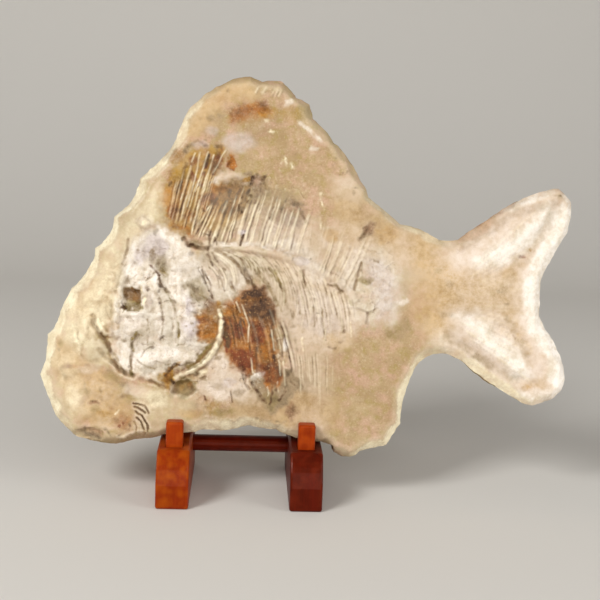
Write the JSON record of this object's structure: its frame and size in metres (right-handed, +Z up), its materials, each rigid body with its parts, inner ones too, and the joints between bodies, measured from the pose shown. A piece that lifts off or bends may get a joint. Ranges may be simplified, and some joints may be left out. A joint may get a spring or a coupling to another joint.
{
  "type": "fossil fish slab on display stand",
  "caption": "Fish-shaped slab of pale stone with a fish skeleton in low relief, leaning back on a small varnished wooden easel stand with pegs and a round crossbar.",
  "frame": {"origin": "centre of the base of the whole object's box, on the surface that the stand rests on", "axes": "+Z up; the fossil's face looks towards -Y; +X runs along the fish from its snout to its tail"},
  "size_m": [0.315, 0.091, 0.2464],
  "materials": {
    "pale_limestone": "matt, chalky, chipped by hand round the edge",
    "stand_left_side_varnished_wood": "stained orange-brown, glossy varnish",
    "stand_right_side_varnished_wood": "stained orange-brown, glossy varnish",
    "stand_left_lip_varnished_wood": "stained orange-brown, glossy varnish",
    "stand_right_lip_varnished_wood": "stained orange-brown, glossy varnish",
    "crossbar_varnished_wood": "stained dark red-brown, glossy varnish"
  },
  "bodies": {
    "root": {"fossil_slab": "pale_limestone", "stand_left_side": "stand_left_side_varnished_wood", "stand_right_side": "stand_right_side_varnished_wood", "stand_left_lip": "stand_left_lip_varnished_wood", "stand_right_lip": "stand_right_lip_varnished_wood", "stand_crossbar": "crossbar_varnished_wood"}
  },
  "joints": []
}
